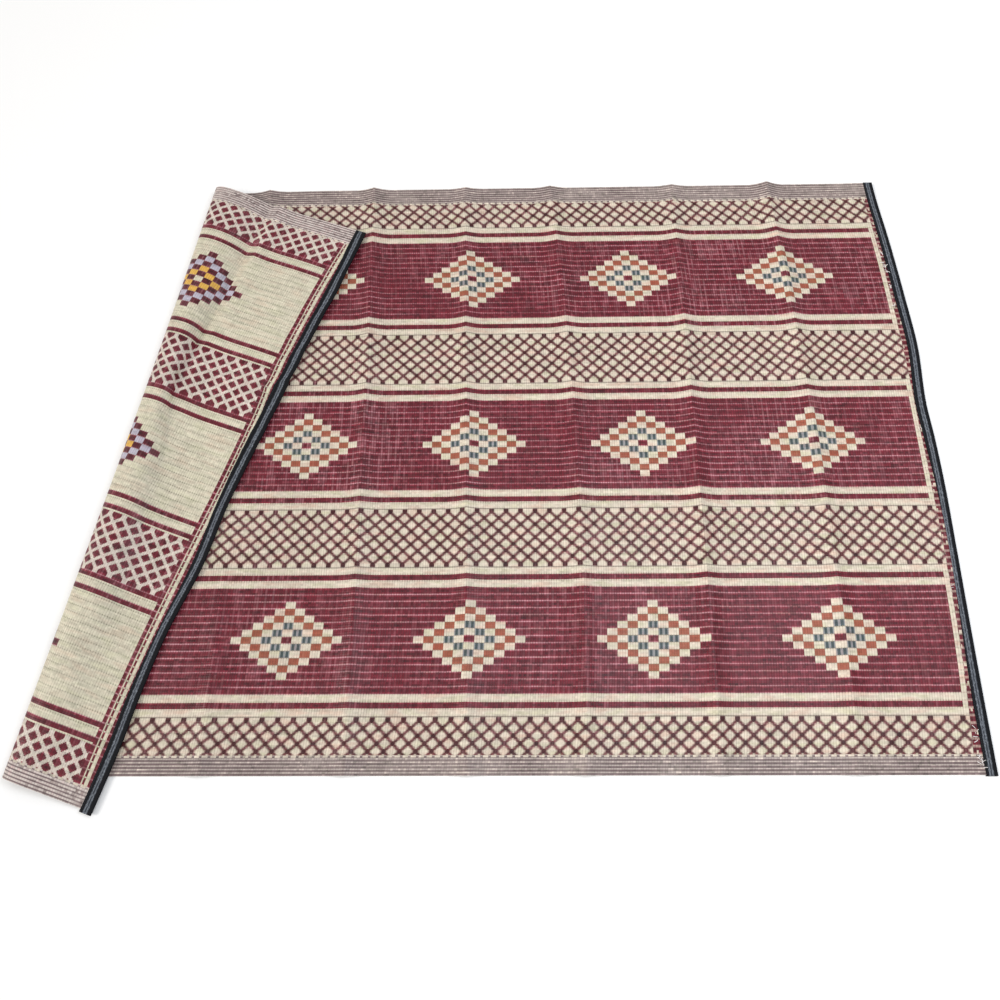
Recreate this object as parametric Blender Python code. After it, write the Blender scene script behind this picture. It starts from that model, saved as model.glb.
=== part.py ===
"""A woven plastic floor mat, 1.83 m by 1.22 m, that lies flat with its left end folded over.

The sheet is laid out in mat coordinates, in metres: u runs along the mat from its left end, and v across
it, from -WIDTH / 2 at the near edge to WIDTH / 2 at the far edge. sheet_middle() bends that flat layout
into the shape in which the mat lies: creases from packing, a slanting fold, and the flap that comes back
over the mat. +X runs along the mat, +Z is up, and the floor is at z = 0.
"""

import bisect
import math

import bmesh
import bpy
from mathutils import Vector

# The cut mat
LENGTH = 1.83
WIDTH = 1.22
HALF = WIDTH / 2
SHEET = 0.0016

# The left end is drawn in at the middle and wavers: (v, u of the end, the tape's width on the back)
LEFT_END = (
    (-0.61, 0.0005, 0.0205),
    (-0.50, 0.0103, 0.0212),
    (-0.41, 0.0215, 0.0205),
    (-0.30, 0.0290, 0.0170),
    (-0.17, 0.0262, 0.0200),
    (-0.05, 0.0350, 0.0205),
    (0.08, 0.0347, 0.0230),
    (0.20, 0.0311, 0.0220),
    (0.35, 0.0283, 0.0215),
    (0.47, 0.0215, 0.0220),
    (0.61, 0.0180, 0.0215),
)

# The tape that binds each end. It hangs past the near edge a little, and keeps GAP from the sheet.
TAPE = 0.0008
TAPE_FACE = 0.0185
TAPE_CORNER = TAPE * 0.6
TAPE_CROWN = TAPE * 0.12
LEFT_OVERHANG = 0.005
RIGHT_OVERHANG = 0.002
GAP = 0.0003
TAPE_REACH = GAP + TAPE
TAPE_SIDE = SHEET / 2 + GAP + TAPE

# The right end wavers: (v, how far the end lies past LENGTH, the tape's width on the front)
RIGHT_END = (
    (-0.61, 0.0005, 0.0185),
    (-0.48, 0.0030, 0.0190),
    (-0.36, 0.0060, 0.0155),
    (-0.22, 0.0100, 0.0125),
    (-0.10, 0.0130, 0.0160),
    (0.00, 0.0125, 0.0200),
    (0.08, 0.0100, 0.0205),
    (0.20, 0.0165, 0.0195),
    (0.31, 0.0120, 0.0205),
    (0.46, 0.0030, 0.0195),
    (0.61, -0.0105, 0.0185),
)

# The fold, a line that crosses the mat's middle at FOLD_U, slants by FOLD_ANGLE and bows a little.
FOLD_U = 0.284
FOLD_ANGLE = math.radians(9.7)
FOLD_BOW = -0.006

# The bend is half an ellipse, lying flat: this many times as deep as its half height
BEND_FLATNESS = 2.0

# How high the fold stands along its line: place (v, height)
FOLD_HEIGHTS = (
    (-0.61, 0.022),
    (-0.30, 0.037),
    (0.00, 0.038),
    (0.30, 0.038),
    (0.52, 0.038),
    (0.61, 0.033),
)

# The flap falls from the bend to a crease of its own at FLAP_CREASE_U, and past it to where its end rests.
# Heights over that are shares of the fold's: (v, least way from the bend to the crease, share at the crease,
# share a third of the way on, share at two thirds, height of the end)
FLAP_CREASE_U = 0.240
FLAP_SHARES = (
    (-0.61, 0.055, 0.55, 0.36, 0.16, 0.0056),
    (-0.30, 0.055, 0.48, 0.27, 0.10, 0.0056),
    (0.00, 0.045, 0.40, 0.10, 0.03, 0.0062),
    (0.11, 0.028, 0.52, 0.12, 0.03, 0.0066),
    (0.26, 0.028, 0.29, 0.21, 0.16, 0.0080),
    (0.46, 0.028, 0.20, 0.27, 0.22, 0.0085),
    (0.61, 0.028, 0.12, 0.10, 0.08, 0.0120),
)

# Just past its crease the flap stands up in a ridge, steeper on the crease's side
RIDGE_HEIGHTS = (
    (-0.61, 0.0),
    (0.00, 0.0),
    (0.26, 0.005),
    (0.46, 0.008),
    (0.61, 0.008),
)
RIDGE_BACK = 0.0245
RIDGE_FRONT = 0.045
RIDGE_SHARPNESS = 1.4

# Packing creases, which stand up as ridges: (u at the near edge, middle and far edge, heights there)
CREASES = (
    ((0.505, 0.505, 0.505), (0.009, 0.000, 0.008)),
    ((0.748, 0.745, 0.735), (0.009, 0.010, 0.009)),
    ((0.955, 0.945, 0.935), (0.008, 0.011, 0.006)),
    ((1.155, 1.157, 1.120), (0.009, 0.009, 0.007)),
    ((1.378, 1.385, 1.385), (0.008, 0.012, 0.006)),
    ((1.605, 1.615, 1.590), (0.009, 0.010, 0.011)),
)
CREASE_SIDE = 0.036
CREASE_SHARPNESS = 1.6
CREASE_COLUMNS = (-1.0, -0.5, -0.2, 0.0, 0.2, 0.5, 1.0)

# The far edge curls up a little
CURL = 0.004
CURL_WIDTH = 0.075
CURL_FROM_U = 0.42
CURL_FULL_U = 0.60

# The right end climbs onto the tape's lower leg
CLIMB_START = 0.070
CLIMB_END = 0.026

# The part's origin in mat coordinates: the middle of the box of the mat as it lies
ORIGIN_U = 1.012
ORIGIN_V = -0.0305

# The grid's steps: rows across the width, columns round the bend, down the slope and along the flap
ROWS = 28
BEND_STEPS = 12
ARC_SAMPLES = 96
SLOPE_STEPS = 4
FLAP_STEPS = 5
MARCH_STEPS = 24
PROBE = 0.001

SHARP_EDGE = math.radians(40)


def smooth_table(rows, at, column):
    """Read one column of a table at any place, along a smooth curve through its rows."""
    at = min(max(at, rows[0][0]), rows[-1][0])
    k = max(i for i in range(len(rows) - 1) if rows[i][0] <= at)
    x0, x1 = rows[k][0], rows[k + 1][0]
    y0, y1 = rows[k][column], rows[k + 1][column]
    before = rows[max(k - 1, 0)]
    after = rows[min(k + 2, len(rows) - 1)]
    slope0 = (y1 - before[column]) / (x1 - before[0])
    slope1 = (after[column] - y0) / (after[0] - x0)
    span = x1 - x0
    f = (at - x0) / span
    return (
        y0 * (1 + 2 * f) * (1 - f) ** 2
        + slope0 * span * f * (1 - f) ** 2
        + y1 * f * f * (3 - 2 * f)
        + slope1 * span * f * f * (f - 1)
    )


def ease(x):
    """A soft step from 0 to 1."""
    x = min(max(x, 0.0), 1.0)
    return x * x * (3 - 2 * x)


def left_end(v):
    """The left end's u."""
    return smooth_table(LEFT_END, v, 1)


def right_end(v):
    """The right end's u."""
    return LENGTH + smooth_table(RIGHT_END, v, 1)


def left_back(v):
    """The left tape's width on the back, which is the side that shows on the flap."""
    return smooth_table(LEFT_END, v, 2)


def left_face(v):
    """The left tape's width on the front, the rest of the tape."""
    return 2 * TAPE_FACE - left_back(v)


def right_face(v):
    """The right tape's width on the front, which narrows where it has been pulled to the back."""
    return smooth_table(RIGHT_END, v, 2)


def three_places(near, middle, far, v):
    """A value along the width, from its values at the near edge, the middle and the far edge."""
    x = v / HALF
    return middle + (far - near) / 2 * x + ((far + near) / 2 - middle) * x * x


def crease_line(crease, v):
    """A packing crease's u at v."""
    return three_places(*crease[0], v)


def crease_height(crease, v):
    """How high a packing crease stands at v."""
    return max(three_places(*crease[1], v), 0.0)


def bend_arcs():
    """The way round a bend of half height 1, from its foot to each of ARC_SAMPLES equal turns up to its top."""
    arcs = [0.0]
    step = math.pi / ARC_SAMPLES
    for k in range(ARC_SAMPLES):
        turn = (k + 0.5) * step
        arcs.append(arcs[-1] + step * math.hypot(BEND_FLATNESS * math.cos(turn), math.sin(turn)))
    return arcs


BEND_ARCS = bend_arcs()


def bend_turn(arc):
    """The turn, from 0 at the foot to pi at the top, that lies this far round a bend of half height 1."""
    k = min(max(bisect.bisect_right(BEND_ARCS, arc) - 1, 0), ARC_SAMPLES - 1)
    part = (arc - BEND_ARCS[k]) / (BEND_ARCS[k + 1] - BEND_ARCS[k])
    return math.pi * (k + part) / ARC_SAMPLES


def half_height(v):
    """Half the bend's height where the fold line crosses v."""
    return smooth_table(FOLD_HEIGHTS, v, 1) / 2


def fold_frame(u, v):
    """A point's distance along the fold line, its distance past it towards the left end, and the bow."""
    along = (u - FOLD_U) * math.sin(FOLD_ANGLE) + v * math.cos(FOLD_ANGLE)
    bow = FOLD_BOW * (along / HALF) ** 2
    past = -(u - FOLD_U) * math.cos(FOLD_ANGLE) + v * math.sin(FOLD_ANGLE) + bow
    return along, past, bow


def fold_u(v, past):
    """The u of the point on row v that lies this far past the fold line."""
    along = v / math.cos(FOLD_ANGLE)
    bow = FOLD_BOW * (along / HALF) ** 2
    return FOLD_U + v * math.tan(FOLD_ANGLE) - (past - bow) / math.cos(FOLD_ANGLE)


def half_bend(v):
    """Half the cloth's length round the bend."""
    return half_height(v) * BEND_ARCS[-1] / 2


def flap_crease(v):
    """The u of the flap's own crease, which follows the fold where they would meet."""
    return min(FLAP_CREASE_U, fold_u(v, half_bend(v)) - smooth_table(FLAP_SHARES, v, 1))


def flap_share(u, v):
    """The flap's height at (u, v), from 1 at the fold's top to 0 where its end rests."""
    start, crease, end = fold_u(v, half_bend(v)), flap_crease(v), left_end(v) + left_back(v)
    low = smooth_table(FLAP_SHARES, v, 2)
    if u >= crease:
        slope = min(max((start - u) / (start - crease), 0.0), 1.0)
        return low + (1 - low) * math.cos(slope * math.pi / 2)
    run = min((crease - u) / (crease - end), 1.0)
    third = smooth_table(FLAP_SHARES, v, 3)
    two_thirds = smooth_table(FLAP_SHARES, v, 4)
    rows = ((0.0, low), (1 / 3, third), (2 / 3, two_thirds), (1.0, 0.0))
    return smooth_table(rows, run, 1)


def flap_ridge(u, v):
    """How far the ridge past the flap's crease stands up at (u, v)."""
    off = u - (flap_crease(v) - RIDGE_BACK)
    reach = max(1 - off / RIDGE_BACK if off > 0 else 1 + off / RIDGE_FRONT, 0.0)
    return smooth_table(RIDGE_HEIGHTS, v, 1) * reach**RIDGE_SHARPNESS


def flap_height(u, v, fold_v):
    """The height of the flap's middle over the floor."""
    top = SHEET / 2 + 2 * half_height(fold_v)
    rest = smooth_table(FLAP_SHARES, v, 5)
    return rest + (top - rest) * flap_share(u, v) + flap_ridge(u, v)


def lower_height(u, v):
    """The height of the lower layer's middle: flat on the floor but for creases, curl and the right end."""
    z = SHEET / 2
    for crease in CREASES:
        off = abs(u - crease_line(crease, v)) / CREASE_SIDE
        if off < 1:
            z += crease_height(crease, v) * (1 - off) ** CREASE_SHARPNESS
    reach = (v - (HALF - CURL_WIDTH)) / CURL_WIDTH
    if reach > 0:
        z += CURL * reach**2 * ease((u - CURL_FROM_U) / (CURL_FULL_U - CURL_FROM_U))
    from_end = right_end(v) - u
    z += TAPE_REACH * ease((CLIMB_START - from_end) / (CLIMB_START - CLIMB_END))
    return z


def sheet_middle(u, v):
    """The middle of the sheet's thickness at mat coordinates (u, v), in the part's frame."""
    along, past, bow = fold_frame(u, v)
    fold_v = along * math.cos(FOLD_ANGLE)
    rise, half = half_height(fold_v), half_bend(fold_v)
    if past <= -half:
        return Vector((u - ORIGIN_U, v - ORIGIN_V, lower_height(u, v)))
    if past < half:
        turn = bend_turn((past + half) / rise)
        across = -half + BEND_FLATNESS * rise * math.sin(turn)
        z = SHEET / 2 + rise * (1 - math.cos(turn))
    else:
        across, z = -half, SHEET / 2 + 2 * rise
        step = (past - half) / MARCH_STEPS
        for k in range(1, MARCH_STEPS + 1):
            back = (MARCH_STEPS - k) * step
            at_u = u + back * math.cos(FOLD_ANGLE)
            at_v = v - back * math.sin(FOLD_ANGLE)
            height = flap_height(at_u, at_v, fold_v)
            across -= math.sqrt(max(step**2 - (height - z) ** 2, 0.0))
            z = height
    x = FOLD_U + along * math.sin(FOLD_ANGLE) - (across - bow) * math.cos(FOLD_ANGLE)
    y = along * math.cos(FOLD_ANGLE) + (across - bow) * math.sin(FOLD_ANGLE)
    return Vector((x - ORIGIN_U, y - ORIGIN_V, z))


def sheet_frame(u, v):
    """The sheet's middle at (u, v), its direction along u and its front face's outward normal."""
    du = sheet_middle(u + PROBE, v) - sheet_middle(u - PROBE, v)
    dv = sheet_middle(u, v + PROBE) - sheet_middle(u, v - PROBE)
    return sheet_middle(u, v), du.normalized(), du.cross(dv).normalized()


def row_places():
    """The rows across the mat, as v."""
    return [-HALF + WIDTH * k / ROWS for k in range(ROWS + 1)]


def between(a, b, steps):
    """Places that divide the way from a to b, without either end."""
    return [a + (b - a) * k / steps for k in range(1, steps)]


def column_places(v):
    """The columns' u on row v, from the left end to the right end, each following the fold or a crease."""
    left, tape_in = left_end(v), left_end(v) + left_back(v)
    crease, start = flap_crease(v), fold_u(v, half_bend(v))
    ridge = crease - RIDGE_BACK
    places = [left, tape_in]
    places += between(tape_in, ridge, FLAP_STEPS) + [ridge, (ridge + crease) / 2, crease]
    places += between(crease, start, SLOPE_STEPS) + [start]
    for k in range(1, BEND_STEPS + 1):
        arc = BEND_ARCS[ARC_SAMPLES - k * ARC_SAMPLES // BEND_STEPS]
        places.append(fold_u(v, half_height(v) * arc - half_bend(v)))
    for line in CREASES:
        at = crease_line(line, v)
        places += [at + CREASE_SIDE * share for share in CREASE_COLUMNS]
    right = right_end(v)
    places += [right - CLIMB_START, right - (CLIMB_START + CLIMB_END) / 2, right - CLIMB_END]
    places += [right - TAPE_FACE, right]
    return places


def new_object(name, bm, material):
    """A finished object from a bmesh, with sharp edges kept and the rest smooth."""
    bmesh.ops.recalc_face_normals(bm, faces=bm.faces)
    mesh = bpy.data.meshes.new(name)
    bm.to_mesh(mesh)
    bm.free()
    mesh.materials.append(material)
    mesh.shade_smooth()
    mesh.set_sharp_from_angle(angle=SHARP_EDGE)
    obj = bpy.data.objects.new(name, mesh)
    bpy.context.collection.objects.link(obj)
    return obj


def plastic(name, colour, roughness):
    """A plain plastic finish."""
    material = bpy.data.materials.new(name)
    material.use_nodes = True
    shader = material.node_tree.nodes["Principled BSDF"]
    shader.inputs["Base Color"].default_value = (*colour, 1.0)
    shader.inputs["Roughness"].default_value = roughness
    shader.inputs["Metallic"].default_value = 0.0
    return material


def build_sheet(material):
    """The woven sheet: a grid of columns and rows on the back and the front, closed by its four edges."""
    bm = bmesh.new()
    sides = {-1: [], 1: []}
    for v in row_places():
        frames = [sheet_frame(u, v) for u in column_places(v)]
        for side, grid in sides.items():
            grid.append([bm.verts.new(p + n * side * SHEET / 2) for p, _, n in frames])
    back, front = sides[-1], sides[1]
    rows, columns = len(front), len(front[0])
    for j in range(rows - 1):
        for i in range(columns - 1):
            for grid in (front, back):
                a, b, c, d = grid[j][i], grid[j][i + 1], grid[j + 1][i + 1], grid[j + 1][i]
                bm.faces.new((a, b, c))
                bm.faces.new((a, c, d))
    for j in (0, rows - 1):
        for i in range(columns - 1):
            bm.faces.new((front[j][i], front[j][i + 1], back[j][i + 1], back[j][i]))
    for i in (0, columns - 1):
        for j in range(rows - 1):
            bm.faces.new((front[j][i], front[j + 1][i], back[j + 1][i], back[j][i]))
    bmesh.ops.triangulate(bm, faces=bm.faces)
    return new_object("mat_sheet", bm, material)


def tape_leg(face):
    """One side of the tape's section, from its inner edge out: (distance in from the end, height)."""
    return [
        (face, SHEET / 2 + GAP),
        (face, TAPE_SIDE),
        (0.0, TAPE_SIDE),
        (-TAPE_REACH + TAPE_CORNER, TAPE_SIDE - TAPE_CROWN),
        (-TAPE_REACH, TAPE_SIDE - TAPE_CORNER),
    ]


def tape_outline(face):
    """The tape's whole section round the sheet's end, with this much of its width on the front."""
    back = [(d, -e) for d, e in reversed(tape_leg(2 * TAPE_FACE - face))]
    inner = SHEET / 2 + GAP
    return tape_leg(face) + back + [(-GAP, -inner), (-GAP, inner)]


def build_tape(name, end, face, inward, overhang, material):
    """A tape folded over one end: its section carried along the end, past the near edge by the overhang.

    Its triangles slant as the sheet's do, so that the two stay GAP apart where the end is twisted.
    """
    bm = bmesh.new()
    rings = []
    for v in [-HALF - overhang] + row_places():
        u_end = end(v)
        at_end, along_u, end_normal = sheet_frame(u_end, v)
        ring = []
        for d, e in tape_outline(face(v)):
            if d > 0:
                p, _, n = sheet_frame(u_end + inward * d, v)
                ring.append(bm.verts.new(p + n * e))
            else:
                ring.append(bm.verts.new(at_end + along_u * inward * d + end_normal * e))
        rings.append(ring)
    count = len(rings[0])
    distances = [d for d, _ in tape_outline(TAPE_FACE)]
    for a, b in zip(rings, rings[1:]):
        for k in range(count):
            m = (k + 1) % count
            if (distances[k] > distances[m]) == (inward > 0):
                bm.faces.new((a[k], a[m], b[k]))
                bm.faces.new((a[m], b[m], b[k]))
            else:
                bm.faces.new((a[k], a[m], b[m]))
                bm.faces.new((a[k], b[m], b[k]))
    bm.faces.new(rings[0])
    bm.faces.new(rings[-1])
    bmesh.ops.triangulate(bm, faces=bm.faces)
    return new_object(name, bm, material)


def main():
    """Clear the scene and build the mat and its two tapes."""
    for obj in list(bpy.data.objects):
        bpy.data.objects.remove(obj)
    straw = plastic("woven_straw", (0.22, 0.025, 0.045), 0.45)
    tape = plastic("binding_tape", (0.02, 0.022, 0.028), 0.6)
    build_sheet(straw)
    build_tape("binding_left", left_end, left_face, 1, LEFT_OVERHANG, tape)
    build_tape("binding_right", right_end, right_face, -1, RIGHT_OVERHANG, tape)


main()
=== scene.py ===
"""Dress a woven plastic mat: the weave and pattern on both faces, the bound ends and their stitches."""

import logging
import math
from collections.abc import Callable
from dataclasses import dataclass
from enum import Enum

import bmesh
import bpy
import numpy as np
from mathutils import Matrix, Vector


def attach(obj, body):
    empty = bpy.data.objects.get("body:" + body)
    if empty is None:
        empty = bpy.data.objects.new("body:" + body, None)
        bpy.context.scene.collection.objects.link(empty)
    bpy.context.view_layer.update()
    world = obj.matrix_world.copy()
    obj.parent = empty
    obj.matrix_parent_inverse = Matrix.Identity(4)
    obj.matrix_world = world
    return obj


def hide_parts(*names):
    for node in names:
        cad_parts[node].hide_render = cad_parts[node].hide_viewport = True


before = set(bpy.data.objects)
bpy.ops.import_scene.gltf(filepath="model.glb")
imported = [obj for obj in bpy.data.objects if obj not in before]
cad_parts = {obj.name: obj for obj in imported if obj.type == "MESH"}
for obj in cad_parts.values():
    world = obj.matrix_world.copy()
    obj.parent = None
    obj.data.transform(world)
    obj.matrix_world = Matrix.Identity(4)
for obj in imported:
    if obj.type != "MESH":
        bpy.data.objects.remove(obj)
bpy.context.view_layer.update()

LOG = logging.getLogger("mat")

Pair = tuple[float, float]
Triple = tuple[float, float, float]
Colour = tuple[float, float, float, float]
Array = np.ndarray
Tree = bpy.types.NodeTree
Material = bpy.types.Material
Mesh = bpy.types.Mesh
Object = bpy.types.Object

# The part's origin in the coordinates of the flat mat: u from the left end, v across from the middle
ORIGIN_U = 1.012
ORIGIN_V = -0.0305

# The weave: ribs of three straws run along the mat, and warp threads cross them
RIB = 0.01261
RIB_ZERO = 0.6081
STRAWS = 3
WARP = 0.3255 / 72
MOTIF_U = 1.605
WEAVE_MAP = "weave"
TAPE_MAP = "tape"

# Node socket types
FLOAT = "NodeSocketFloat"
VECTOR = "NodeSocketVector"
GEOMETRY = "NodeSocketGeometry"
MATERIAL = "NodeSocketMaterial"


class Side(Enum):
    """The two faces of the mat."""

    FRONT = "front"
    BACK = "back"


class End(Enum):
    """The two ends of the mat, as the way in from each along u."""

    LEFT = 1
    RIGHT = -1


def linear(red: int, green: int, blue: int) -> Colour:
    """A colour as the shaders take it.

    Args:
        red: Red as seen on a screen, 0 to 255.
        green: Green, the same way.
        blue: Blue, the same way.

    Returns:
        The colour in linear light, with full alpha.
    """
    shares = [c / 255 for c in (red, green, blue)]
    return (*[c / 12.92 if c <= 0.04045 else ((c + 0.055) / 1.055) ** 2.4 for c in shares], 1.0)


def smooth_values(knots: Array, values: Array, at: Array) -> Array:
    """Read smooth curves that pass through values at knots.

    Args:
        knots: The places of the values, rising.
        values: One row of values for each knot, each row as large as the places or a single number.
        at: The places to read.

    Returns:
        The curves' values at those places.
    """
    at = np.clip(at, knots[0], knots[-1])
    rows = np.stack([np.broadcast_to(row, at.shape) for row in values])
    k = np.clip(np.searchsorted(knots, at, side="right") - 1, 0, len(knots) - 2)
    before, after = np.maximum(k - 1, 0), np.minimum(k + 2, len(knots) - 1)
    near, y0, y1, beyond = (np.take_along_axis(rows, i[None], axis=0)[0] for i in (before, k, k + 1, after))
    x0, x1 = knots[k], knots[k + 1]
    slope0 = (y1 - near) / (x1 - knots[before])
    slope1 = (beyond - y0) / (knots[after] - x0)
    span = x1 - x0
    f = (at - x0) / span
    head = y0 * (1 + 2 * f) * (1 - f) ** 2 + slope0 * span * f * (1 - f) ** 2
    return head + y1 * f * f * (3 - 2 * f) + slope1 * span * f * f * (f - 1)


def ease(x: Array) -> Array:
    """A soft step from 0 to 1."""
    x = np.clip(x, 0.0, 1.0)
    return x * x * (3 - 2 * x)


def ridge(off: Array, side: Array | float, sharpness: float) -> Array:
    """The height of a ridge of height 1 at a distance off its top, down to 0 at its side's width."""
    return np.maximum(1 - np.abs(off) / side, 0.0) ** sharpness


@dataclass(frozen=True)
class Table:
    """A short table whose first column is a place across the mat, read along smooth curves."""

    rows: tuple[tuple[float, ...], ...]

    def read(self, at: Array, column: int = 1) -> Array:
        """One column's value at each place."""
        table = np.array(self.rows)
        return smooth_values(table[:, 0], table[:, column], np.asarray(at, dtype=float))


@dataclass(frozen=True)
class Crease:
    """A ridge left by packing: its u and its height at the near edge, the middle and the far edge."""

    u: Triple
    height: Triple

    @staticmethod
    def _along(places: Triple, x: Array) -> Array:
        """A value along the width, from three of them."""
        near, middle, far = places
        return middle + (far - near) / 2 * x + ((far + near) / 2 - middle) * x * x

    def line(self, v: Array, half: float) -> Array:
        """The ridge's u at v."""
        return self._along(self.u, v / half)

    def rise(self, v: Array, half: float) -> Array:
        """The ridge's height at v."""
        return np.maximum(self._along(self.height, v / half), 0.0)


@dataclass(frozen=True)
class MatLie:
    """How the mat lies: flat between its packing creases, with its left end folded over on a slant."""

    length: float = 1.83
    width: float = 1.22
    thickness: float = 0.0016
    tape_face: float = 0.0185
    tape_reach: float = 0.0011
    left: Table = Table((
        (-0.61, 0.0005, 0.0205), (-0.50, 0.0103, 0.0212), (-0.41, 0.0215, 0.0205), (-0.30, 0.0290, 0.0170),
        (-0.17, 0.0262, 0.0200), (-0.05, 0.0350, 0.0205), (0.08, 0.0347, 0.0230), (0.20, 0.0311, 0.0220),
        (0.35, 0.0283, 0.0215), (0.47, 0.0215, 0.0220), (0.61, 0.0180, 0.0215),
    ))
    right: Table = Table((
        (-0.61, 0.0005, 0.0185), (-0.48, 0.0030, 0.0190), (-0.36, 0.0060, 0.0155), (-0.22, 0.0100, 0.0125),
        (-0.10, 0.0130, 0.0160), (0.00, 0.0125, 0.0200), (0.08, 0.0100, 0.0205), (0.20, 0.0165, 0.0195),
        (0.31, 0.0120, 0.0205), (0.46, 0.0030, 0.0195), (0.61, -0.0105, 0.0185),
    ))
    fold_at: float = 0.284
    fold_angle: float = math.radians(9.7)
    fold_bow: float = -0.006
    bend_flatness: float = 2.0
    fold_heights: Table = Table(
        ((-0.61, 0.022), (-0.30, 0.037), (0.00, 0.038), (0.30, 0.038), (0.52, 0.038), (0.61, 0.033))
    )
    flap_crease_u: float = 0.240
    flap_shares: Table = Table((
        (-0.61, 0.055, 0.55, 0.36, 0.16, 0.0056), (-0.30, 0.055, 0.48, 0.27, 0.10, 0.0056),
        (0.00, 0.045, 0.40, 0.10, 0.03, 0.0062), (0.11, 0.028, 0.52, 0.12, 0.03, 0.0066),
        (0.26, 0.028, 0.29, 0.21, 0.16, 0.0080), (0.46, 0.028, 0.20, 0.27, 0.22, 0.0085),
        (0.61, 0.028, 0.12, 0.10, 0.08, 0.0120),
    ))
    ridge_heights: Table = Table(((-0.61, 0.0), (0.00, 0.0), (0.26, 0.005), (0.46, 0.008), (0.61, 0.008)))
    ridge_back: float = 0.0245
    ridge_front: float = 0.045
    ridge_sharpness: float = 1.4
    creases: tuple[Crease, ...] = (
        Crease((0.505, 0.505, 0.505), (0.009, 0.000, 0.008)),
        Crease((0.748, 0.745, 0.735), (0.009, 0.010, 0.009)),
        Crease((0.955, 0.945, 0.935), (0.008, 0.011, 0.006)),
        Crease((1.155, 1.157, 1.120), (0.009, 0.009, 0.007)),
        Crease((1.378, 1.385, 1.385), (0.008, 0.012, 0.006)),
        Crease((1.605, 1.615, 1.590), (0.009, 0.010, 0.011)),
    )
    crease_side: float = 0.036
    crease_sharpness: float = 1.6
    curl: float = 0.004
    curl_width: float = 0.075
    curl_from_u: float = 0.42
    curl_full_u: float = 0.60
    climb_start: float = 0.070
    climb_end: float = 0.026
    arc_samples: int = 96
    march_steps: int = 24
    probe: float = 0.001

    @property
    def half(self) -> float:
        """Half the mat's width."""
        return self.width / 2

    @property
    def slant(self) -> Pair:
        """The sine and the cosine of the fold line's angle."""
        return math.sin(self.fold_angle), math.cos(self.fold_angle)

    @property
    def bend_arcs(self) -> Array:
        """The way round a bend of half height 1.

        Returns:
            The length from the bend's foot to each of its equal turns.
        """
        step = math.pi / self.arc_samples
        turns = (np.arange(self.arc_samples) + 0.5) * step
        pieces = step * np.hypot(self.bend_flatness * np.cos(turns), np.sin(turns))
        return np.concatenate([[0.0], np.cumsum(pieces)])

    def end(self, which: End, v: Array) -> Array:
        """The u of one of the ends at v."""
        return self.left.read(v) if which is End.LEFT else self.length + self.right.read(v)

    def face(self, which: End, v: Array) -> Array:
        """The width of an end's tape on the front at v."""
        return 2 * self.tape_face - self.left.read(v, 2) if which is End.LEFT else self.right.read(v, 2)

    def half_height(self, v: Array) -> Array:
        """Half the bend's height where the fold line crosses v."""
        return self.fold_heights.read(v) / 2

    def half_bend(self, v: Array) -> Array:
        """Half the cloth's length round the bend."""
        return self.half_height(v) * self.bend_arcs[-1] / 2

    def fold_frame(self, u: Array, v: Array) -> tuple[Array, Array, Array]:
        """Where a point lies by the fold line.

        Args:
            u: The point's u.
            v: Its v.

        Returns:
            Its distance along the fold line, its distance past it, and the line's bow there.
        """
        sine, cosine = self.slant
        along = (u - self.fold_at) * sine + v * cosine
        bow = self.fold_bow * (along / self.half) ** 2
        return along, -(u - self.fold_at) * cosine + v * sine + bow, bow

    def fold_u(self, v: Array, past: Array) -> Array:
        """The u of the point on row v that lies this far past the fold line."""
        bow = self.fold_bow * (v / math.cos(self.fold_angle) / self.half) ** 2
        return self.fold_at + v * math.tan(self.fold_angle) - (past - bow) / math.cos(self.fold_angle)

    def flap_crease(self, v: Array) -> Array:
        """The u of the flap's own crease, which follows the fold where they would meet."""
        return np.minimum(self.flap_crease_u, self.fold_u(v, self.half_bend(v)) - self.flap_shares.read(v))

    def flap_share(self, u: Array, v: Array) -> Array:
        """How high the flap stands.

        Args:
            u: The u of each point.
            v: Its v.

        Returns:
            Its height, from 1 at the fold's top to 0 where its end rests.
        """
        start, crease = self.fold_u(v, self.half_bend(v)), self.flap_crease(v)
        rest = self.left.read(v) + self.left.read(v, 2)
        low, third, two_thirds = (self.flap_shares.read(v, column) for column in (2, 3, 4))
        slope = np.clip((start - u) / (start - crease), 0.0, 1.0)
        steep = low + (1 - low) * np.cos(slope * math.pi / 2)
        run = np.clip((crease - u) / (crease - rest), 0.0, 1.0)
        knots = np.array([0.0, 1 / 3, 2 / 3, 1.0])
        flat = smooth_values(knots, np.stack([low, third, two_thirds, np.zeros_like(low)]), run)
        return np.where(u >= crease, steep, flat)

    def flap_height(self, u: Array, v: Array, fold_v: Array) -> Array:
        """The height of the flap's middle over the floor.

        Args:
            u: The u of each point.
            v: Its v.
            fold_v: The v at which it leaves the fold line.

        Returns:
            The height, with the ridge that stands up past the flap's crease.
        """
        top = self.thickness / 2 + 2 * self.half_height(fold_v)
        rest = self.flap_shares.read(v, 5)
        off = u - (self.flap_crease(v) - self.ridge_back)
        side = np.where(off > 0, self.ridge_back, self.ridge_front)
        raised = self.ridge_heights.read(v) * ridge(off, side, self.ridge_sharpness)
        return rest + (top - rest) * self.flap_share(u, v) + raised

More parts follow.
